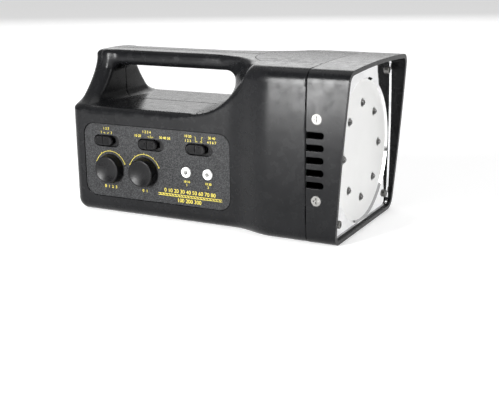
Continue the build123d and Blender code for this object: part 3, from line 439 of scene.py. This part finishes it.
def shell_field(x, y, z):
    """One half of the hollow housing, cut off at the middle plane and at the seam."""
    outside = housing_field(x, np.abs(y), z)
    wall = np.maximum(outside, -(outside + WALL))
    return np.maximum(wall, np.maximum(-y, x - SEAM_X))


def surface_net(field, low, high, cell):
    """Vertices and quads of the surface where field is zero, on a grid between two corners."""
    axes = [np.arange(a, b, cell) for a, b in zip(low, high)]
    values = field(*np.meshgrid(*axes, indexing="ij"))
    inside = values < 0
    shape = np.array(values.shape)
    total = np.zeros((*(shape - 1), 3))
    count = np.zeros(shape - 1)
    crossings = []
    for axis in range(3):
        first = [slice(None)] * 3
        second = [slice(None)] * 3
        first[axis], second[axis] = slice(0, -1), slice(1, None)
        a, b = values[tuple(first)], values[tuple(second)]
        crossed = inside[tuple(first)] != inside[tuple(second)]
        share = np.where(crossed, a / np.where(crossed, a - b, 1), 0)
        places = np.stack(np.meshgrid(*[np.arange(n, dtype=float) for n in a.shape], indexing="ij"), -1)
        places[..., axis] += share
        others = [k for k in range(3) if k != axis]
        for da in (0, 1):
            for db in (0, 1):
                part = [slice(None)] * 3
                part[others[0]] = slice(da, shape[others[0]] - 1 + da)
                part[others[1]] = slice(db, shape[others[1]] - 1 + db)
                hit = crossed[tuple(part)]
                total += places[tuple(part)] * hit[..., None]
                count += hit
        crossings.append((axis, others, np.argwhere(crossed), inside[tuple(first)][crossed]))
    used = count > 0
    index = np.full(count.shape, -1)
    index[used] = np.arange(used.sum())
    points = np.array(low) + total[used] / count[used][:, None] * cell
    quads = []
    for axis, others, edges, starts_inside in crossings:
        ring = []
        for da, db in ((-1, -1), (0, -1), (0, 0), (-1, 0)):
            at = edges.copy()
            at[:, others[0]] += da
            at[:, others[1]] += db
            ring.append(index[tuple(at.T)])
        quad = np.stack(ring, 1)
        flip = starts_inside if axis == 1 else ~starts_inside
        quad[flip] = quad[flip][:, ::-1]
        quads.append(quad)
    return points, np.concatenate(quads)


def settle(field, points, cell):
    """Moves points onto the surface, by no more than half a cell."""
    start = points.copy()
    for _ in range(SETTLE_ROUNDS):
        here = field(*points.T)
        steps = SLOPE_STEP * np.eye(3)
        slope = np.stack([(field(*(points + step).T) - field(*(points - step).T)) / (2 * SLOPE_STEP)
                          for step in steps], 1)
        points = points - (here / np.maximum((slope ** 2).sum(1), LEAST_SLOPE))[:, None] * slope
        points = start + np.clip(points - start, -cell / 2, cell / 2)
    return points


def mesh_object(name, points, faces, material, body="root"):
    """Object in metres from points in millimetres, riding on a body."""
    mesh = bpy.data.meshes.new(name)
    mesh.from_pydata((np.asarray(points) * MM).tolist(), [], [list(map(int, f)) for f in faces])
    mesh.update()
    mesh.materials.append(material)
    made = bpy.data.objects.new(name, mesh)
    bpy.context.scene.collection.objects.link(made)
    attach(made, body)
    return made


def face_outward(mesh):
    """Turns every face of a closed mesh outward."""
    work = bmesh.new()
    work.from_mesh(mesh)
    bmesh.ops.recalc_face_normals(work, faces=work.faces)
    work.to_mesh(mesh)
    work.free()


def cut(target, cutters):
    """Takes the cutters' solids out of target."""
    for cutter in cutters:
        modifier = target.modifiers.new("cut", "BOOLEAN")
        modifier.operation = "DIFFERENCE"
        modifier.solver = "EXACT"
        modifier.object = cutter
    bpy.context.view_layer.update()
    evaluated = target.evaluated_get(bpy.context.evaluated_depsgraph_get())
    result = bpy.data.meshes.new_from_object(evaluated)
    target.modifiers.clear()
    target.data = result
    for cutter in cutters:
        bpy.data.objects.remove(cutter)


def prism(outline, axis, start, end):
    """Closed solid from a flat outline: outline's two numbers are the axes other than axis, in order."""
    others = [k for k in range(3) if k != axis]
    ring = []
    for level in (start, end):
        for pair in outline:
            point = [0.0, 0.0, 0.0]
            point[axis] = level
            point[others[0]], point[others[1]] = pair
            ring.append(point)
    count = len(outline)
    sides = [(k, (k + 1) % count, count + (k + 1) % count, count + k) for k in range(count)]
    mesh = bpy.data.meshes.new("prism")
    mesh.from_pydata((np.array(ring) * MM).tolist(), [], [tuple(range(count))[::-1],
                                                       tuple(range(count, 2 * count)), *sides])
    face_outward(mesh)
    made = bpy.data.objects.new("prism", mesh)
    bpy.context.scene.collection.objects.link(made)
    return made


def rounded_rectangle(middle, size, radius, steps=10):
    """Outline of a rectangle with round corners."""
    outline = []
    for corner, (sx, sy) in enumerate(((1, 1), (-1, 1), (-1, -1), (1, -1))):
        cx = middle[0] + sx * (size[0] / 2 - radius)
        cy = middle[1] + sy * (size[1] / 2 - radius)
        for step in range(steps + 1):
            turn = math.pi / 2 * (corner + step / steps)
            outline.append((cx + radius * math.cos(turn), cy + radius * math.sin(turn)))
    return outline


def circle(middle, radius, steps=40):
    """Outline of a circle."""
    return [(middle[0] + radius * math.cos(2 * math.pi * k / steps),
             middle[1] + radius * math.sin(2 * math.pi * k / steps)) for k in range(steps)]


def window_outline(grow):
    """Outline of the display opening from above: straight sides, bowed rear end, open at the seam."""
    low, high = box_mm("display_window")
    half, rear = high[1] + grow, low[0] - grow
    radius = (half ** 2 + WINDOW_BOW ** 2) / (2 * WINDOW_BOW)
    widest = math.asin(half / radius)
    arc = [(rear + radius - radius * math.cos(turn), radius * math.sin(turn))
           for turn in np.linspace(-widest, widest, 25)]
    return arc + [(SEAM_X + 2, half), (SEAM_X + 2, -half)]


def box_mm(name):
    """Lowest and highest corner of a CAD node in millimetres."""
    return [np.array(corner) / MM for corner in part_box(name)]


def middle_mm(name):
    """Middle of a CAD node in millimetres."""
    low, high = box_mm(name)
    return (low + high) / 2


SWITCH_NAMES = ("range_slider", "mode_slider", "input_slider")
KNOB_NAMES = ("coarse_knob", "fine_knob")
SLOT_SIZE = (22.4, 9.0)
SLOT_R = 4.45
SLIDER_GAP = 0.3
PANEL_SEAT = 48.1            # depth of the panel's pocket, from the middle plane
PANEL_CLEAR = 0.9
PANEL_R = 9.0
INNER_Y = 40.0               # clear of the wall on the inside
SHAFT_HOLE_R = 3.6
JACK_HOLE_R = 3.1
TRIPOD_HOLE_R = 6.0
INLET_HOLE_R = 4.1
WINDOW_BOW = 15.0
WINDOW_CLEAR = 0.45
WINDOW_LEDGE = 2.5
WINDOW_SEAT_Z = 117.4
WELL_R, WELL_WALL_R = 3.1, 5.0
WELL_LOW_Y, WELL_HIGH_Y = 10.0, 46.4
SCREW_WELLS = ((-106.7, 9.0), (-106.7, 72.0), (32.0, 9.0), (63.0, 9.0), (63.0, 92.0))


def slot_middle(name):
    """Middle of the slot of a switch, from its cap, which is stored at the rear end."""
    low, high = box_mm(name)
    return (low[0] - SLIDER_GAP + SLOT_SIZE[0] / 2, (low[2] + high[2]) / 2)


def split_places(name, count):
    """Middles of a node's separate solids along X, for equal solids in one row."""
    low, high = box_mm(name)
    size = (high - low)[2]
    return [(low[0] + size / 2 + k * ((high - low)[0] - size) / (count - 1), (low[2] + high[2]) / 2)
            for k in range(count)]


def make_shells():
    """Both halves of the housing, with the openings of their fittings."""
    points, quads = surface_net(shell_field, (REAR_X - NET_MARGIN, -2 * CELL, -2 * CELL),
                                (SEAM_X + NET_MARGIN, HEAD_HALF + NET_MARGIN, HEIGHT + NET_MARGIN), CELL)
    points = settle(shell_field, points, CELL)
    plastic = MATERIALS["housing_plastic"]
    left = mesh_object("left_housing", points, quads, plastic)
    right = mesh_object("right_housing", points * (1, -1, 1), quads[:, ::-1], plastic)
    panel_low, panel_high = box_mm("label_panel")
    middle = (panel_low + panel_high) / 2
    size = (panel_high - panel_low)[[0, 2]] + PANEL_CLEAR
    cutters = [prism(rounded_rectangle(middle[[0, 2]], size, PANEL_R), 1, -PANEL_SEAT, -HEAD_HALF)]
    outlines = [rounded_rectangle(slot_middle(name), SLOT_SIZE, SLOT_R) for name in SWITCH_NAMES]
    outlines += [circle(middle_mm(name)[[0, 2]], SHAFT_HOLE_R) for name in KNOB_NAMES]
    outlines += [circle(place, JACK_HOLE_R) for place in split_places("jack_rings", 2)]
    cutters += [prism(outline, 1, -INNER_Y, -HEAD_HALF) for outline in outlines]
    tripod = middle_mm("tripod_insert")
    shared = [lambda: prism(window_outline(WINDOW_CLEAR), 2, WINDOW_SEAT_Z, HEIGHT + 6.0),
              lambda: prism(window_outline(-WINDOW_LEDGE), 2, 105.0, HEIGHT + 6.0),
              lambda: prism(circle(tripod[:2], TRIPOD_HOLE_R), 2, -4.0, 8.0)]
    cut(right, cutters + [make() for make in shared])
    inlet = middle_mm("power_inlet")
    wells = [prism(circle(place, WELL_R), 1, WELL_LOW_Y - 1.0, HEAD_HALF + 10.0) for place in SCREW_WELLS]
    hole = prism(circle(inlet[1:], INLET_HOLE_R), 0, -120.0, -105.0)
    cut(left, wells + [make() for make in shared] + [hole])
    for half, node in ((left, "left_shell"), (right, "right_shell")):
        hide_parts(node)
        smooth(half, 38.0)


def smooth(made, degrees):
    """Smooth shading up to an angle between faces."""
    work = bmesh.new()
    work.from_mesh(made.data)
    for edge in work.edges:
        edge.smooth = len(edge.link_faces) == 2 and edge.calc_face_angle(0) < math.radians(degrees)
    for face in work.faces:
        face.smooth = True
    work.to_mesh(made.data)
    work.free()


def screw_posts():
    """Tubes in which the screws that join the two halves sit."""
    points, faces = [], []
    steps = 32
    for x, z in SCREW_WELLS:
        start = len(points)
        for radius, y in ((WELL_R, WELL_LOW_Y), (WELL_WALL_R, WELL_LOW_Y),
                          (WELL_WALL_R, WELL_HIGH_Y), (WELL_R, WELL_HIGH_Y)):
            points += [(px, y, pz) for px, pz in circle((x, z), radius, steps)]
        for ring in range(4):
            here, there = start + ring * steps, start + (ring + 1) % 4 * steps
            faces += [(here + k, here + (k + 1) % steps, there + (k + 1) % steps, there + k)
                      for k in range(steps)]
    posts = mesh_object("screw_posts", points, faces, MATERIALS["housing_plastic"])
    face_outward(posts.data)
    smooth(posts, 40.0)


# ---- Print on the panel: plain scales, rules and numbers ----
INK_LIFT = 0.03
INK_THICK = 0.05
INK_BOLD = 0.035
FONT_TO_HEIGHT = 1.38        # size of the type for digits one unit high
FINE_LINE = 0.26
ARC_R, ARC_TICK_R, ARC_LINE = 13.3, 14.3, 0.32
ARC_DOT_R = 0.6
TICK_LINE = 0.3
MARK_Z, MARK_FOOT_Z, MARK_HIGH_Z, UPPER_ROW_Z = 62.2, 61.2, 63.4, 65.2
RULE_LINE = 0.34
HATCH_PITCH, HATCH_LEAN, HATCH_LINE = 2.6, 2.2, 0.42
SMALL_TYPE, LARGE_TYPE = 1.9, 2.9
RULE_START, RULE_END, RULE_Z, RULE_HALF = -38.3, 15.0, 20.4, 0.75


def ink(name):
    """Yellow screen-printed ink, slightly uneven."""
    material, tree, shader, node = new_material(name)
    coords = node("ShaderNodeTexCoord").outputs["Object"]
    shade = colour_mix(node, remap(node, noise(node, coords, 900.0), 0, 1),
                       (0.52, 0.42, 0.035), (0.68, 0.58, 0.07))
    tree.links.new(shade, shader.inputs["Base Color"])
    tree.links.new(remap(node, noise(node, coords, 500.0), 0.35, 0.5), shader.inputs["Roughness"])
    return material


class Print:
    """Collects flat strokes on the panel's face, as thin closed plates."""

    def __init__(self):
        self.points, self.faces = [], []
        self.face_y = box_mm("label_panel")[0][1]

    def plate(self, outline):
        """One convex printed shape from its outline in X and Z."""
        start, count = len(self.points), len(outline)
        for y in (self.face_y - INK_LIFT, self.face_y - INK_LIFT - INK_THICK):
            self.points += [(x, y, z) for x, z in outline]
        self.faces.append(tuple(start + k for k in range(count)))
        self.faces.append(tuple(start + count + k for k in reversed(range(count))))
        for k in range(count):
            after = (k + 1) % count
            self.faces.append((start + k, start + count + k, start + count + after, start + after))

    def stroke(self, first, second, width):
        """Straight stroke between two places."""
        along = Vector(second) - Vector(first)
        across = Vector((-along.y, along.x)).normalized() * width / 2
        a, b = Vector(first), Vector(second)
        self.plate([tuple(a - across), tuple(b - across), tuple(b + across), tuple(a + across)])

    def path(self, places, width):
        """Strokes through a row of places."""
        for first, second in zip(places, places[1:]):
            self.stroke(first, second, width)


def number(text, place, height):
    """Plain number printed with its middle at place."""
    curve = bpy.data.curves.new("number", "FONT")
    curve.body = text
    curve.size = height * FONT_TO_HEIGHT * MM
    curve.align_x, curve.align_y = "CENTER", "CENTER"
    curve.extrude = INK_THICK / 2 * MM
    curve.offset = INK_BOLD * MM
    face_y = box_mm("label_panel")[0][1] - INK_LIFT - INK_THICK / 2
    made = bpy.data.objects.new("number", curve)
    made.location = Vector((place[0], face_y, place[1])) * MM
    made.rotation_euler = (math.pi / 2, 0, 0)
    bpy.context.scene.collection.objects.link(made)
    return made


def make_print():
    """Everything printed on the panel."""
    sheet = Print()
    coarse, fine = middle_mm("coarse_knob"), middle_mm("fine_knob")
    for x, _, z in (coarse, fine):
        arc = [(x + ARC_R * math.cos(turn), z + ARC_R * math.sin(turn))
               for turn in np.radians(np.arange(20, 161, 5))]
        sheet.path(arc, ARC_LINE)
        for end in (arc[0], arc[-1]):
            sheet.plate(circle(end, ARC_DOT_R, 14))
        for tick in np.radians(np.arange(55, 141, 35)):
            sheet.stroke((x + ARC_R * math.cos(tick), z + ARC_R * math.sin(tick)),
                         (x + ARC_TICK_R * math.cos(tick), z + ARC_TICK_R * math.sin(tick)), TICK_LINE)
    first, second, third = [slot_middle(name) for name in SWITCH_NAMES]
    for x, _ in (first, second, third):
        for side in (-1, 1):
            sheet.path([(x + side * 2.6, MARK_Z), (x + side * 1.3, MARK_Z), (x + side * 1.3, MARK_FOOT_Z)],
                       FINE_LINE)
    for side in (-1, 1):
        sheet.path([(third[0] + side * 3.6, UPPER_ROW_Z), (third[0] + side * 2.6, UPPER_ROW_Z),
                    (third[0] + side * 2.6, MARK_FOOT_Z)], FINE_LINE)
    sheet.stroke((second[0], MARK_FOOT_Z), (second[0], MARK_HIGH_Z), FINE_LINE)
    for level in (RULE_Z - RULE_HALF, RULE_Z + RULE_HALF):
        sheet.stroke((RULE_START, level), (RULE_END, level), RULE_LINE)
    for x in np.arange(RULE_START + 1.0, RULE_END - 2.0, HATCH_PITCH):
        sheet.stroke((x, RULE_Z + RULE_HALF), (x + HATCH_LEAN, RULE_Z - RULE_HALF), HATCH_LINE)
    yellow = ink("yellow_ink")
    mesh_object("panel_scales", sheet.points, sheet.faces, yellow)

    rule_middle = (RULE_START + RULE_END) / 2
    texts = [("0  1  2  3", (coarse[0] - 0.7, 21.1), 2.2),
             ("0  1", (fine[0], 21.0), 2.2),
             ("1 2 3", (first[0], 65.4), SMALL_TYPE),
             ("1", (first[0] - 4.4, 62.3), 1.8),
             ("3", (first[0] + 4.6, 62.3), 1.8),
             ("1 2 3 4", (second[0] - 3.2, 65.4), SMALL_TYPE),
             ("10 20", (second[0] - 11.0, MARK_Z), SMALL_TYPE),
             ("30 40 50", (second[0] + 12.2, MARK_Z), SMALL_TYPE)]
    for level, left_text, right_text in ((UPPER_ROW_Z, "10 20", "30 40"), (62.0, "1 2 3", "4 5 6 7")):
        texts += [(left_text, (third[0] - 8.8, level), SMALL_TYPE),
                  (right_text, (third[0] + 10.6, level), SMALL_TYPE)]
    for (x, _), text in zip(split_places("jack_rings", 2), ("1", "2")):
        texts += [("10 " + text + "0", (x, 31.6), 1.7), (text, (x, 29.0), 1.7)]
    texts += [("0 10 20 30 40 50 60 70 80", (rule_middle, 23.6), LARGE_TYPE),
              ("100 200 300", (rule_middle - 0.5, 16.9), LARGE_TYPE)]
    numbers = [number(*each) for each in texts]
    bpy.context.view_layer.update()
    for index, text in enumerate(numbers):
        mesh = bpy.data.meshes.new_from_object(text.evaluated_get(bpy.context.evaluated_depsgraph_get()))
        mesh.transform(text.matrix_world)
        mesh.materials.clear()
        mesh.materials.append(yellow)
        bpy.data.objects.remove(text)
        made = bpy.data.objects.new(f"number_{index:02d}", mesh)
        bpy.context.scene.collection.objects.link(made)
        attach(made, "root")


# ---- Small pieces ----
RIB_PITCH = 0.62
RIB_HALF = 0.16
RIB_HEIGHT = 0.16
RIB_SUNK = 0.05              # how far a rib reaches into its cap
RIB_LENGTH = 5.0
GROOVE_HALF = 1.1            # bare middle of the cap
LED_FLANGE_R = 2.9
LED_COUNT = 8
CUP_PROFILE = ((0.3, 1.2), (4.4, 1.2), (6.2, 1.9), (6.2, 1.6), (5.0, 0.7), (5.0, 0.02))  # along, radius


def ribs(name, body):
    """Fine raised ribs on a switch cap, either side of its groove."""
    low, high = box_mm(name)
    middle = (low + high) / 2
    points, faces = [], []
    for side in (-1, 1):
        reach = 3.0 if side > 0 else 1.9
        count = int((middle[0] - low[0] - GROOVE_HALF - reach) / RIB_PITCH) + 1
        for step in range(count):
            x = middle[0] + side * (GROOVE_HALF + step * RIB_PITCH)
            start = len(points)
            for z in (middle[2] - RIB_LENGTH / 2, middle[2] + RIB_LENGTH / 2):
                for dx, dy in ((-RIB_HALF, RIB_SUNK), (-RIB_HALF * 0.5, -RIB_HEIGHT),
                               (RIB_HALF * 0.5, -RIB_HEIGHT), (RIB_HALF, RIB_SUNK)):
                    points.append((x + dx, low[1] + dy, z))
            faces += [(start, start + 1, start + 2, start + 3), (start + 7, start + 6, start + 5, start + 4)]
            faces += [(start + k, start + 4 + k, start + 4 + (k + 1) % 4, start + (k + 1) % 4)
                      for k in range(4)]
    made = mesh_object(name + "_ribs", points, faces, MATERIALS["black_plastic"], body)
    face_outward(made.data)


def led_cups():
    """Inside each LED: reflector cup on its post."""
    low, high = box_mm("leds")
    middle = (low + high) / 2
    ring = (high[2] - low[2]) / 2 - LED_FLANGE_R
    points, faces = [], []
    steps = 20
    for index in range(LED_COUNT):
        turn = 2 * math.pi / LED_COUNT * index
        y, z = ring * math.cos(turn), middle[2] + ring * math.sin(turn)
        start = len(points)
        for along, radius in CUP_PROFILE:
            points += [(low[0] + along, py, pz) for py, pz in circle((y, z), radius, steps)]
        for row in range(len(CUP_PROFILE) - 1):
            here = start + row * steps
            faces += [(here + k, here + (k + 1) % steps, here + steps + (k + 1) % steps, here + steps + k)
                      for k in range(steps)]
        faces.append(tuple(start + k for k in reversed(range(steps))))
        faces.append(tuple(start + (len(CUP_PROFILE) - 1) * steps + k for k in range(steps)))
    made = mesh_object("led_cups", points, faces, MATERIALS["steel"])
    face_outward(made.data)
    smooth(made, 40.0)


bpy.context.scene.view_settings.view_transform = "Standard"
make_camera()
make_world()
make_floor()
for lamp in LAMPS:
    area_light(*lamp)
dress_nodes()
make_shells()
screw_posts()
make_print()
for cap, body in zip(SWITCH_NAMES, ("range_switch", "mode_switch", "input_switch")):
    ribs(cap, body)
led_cups()
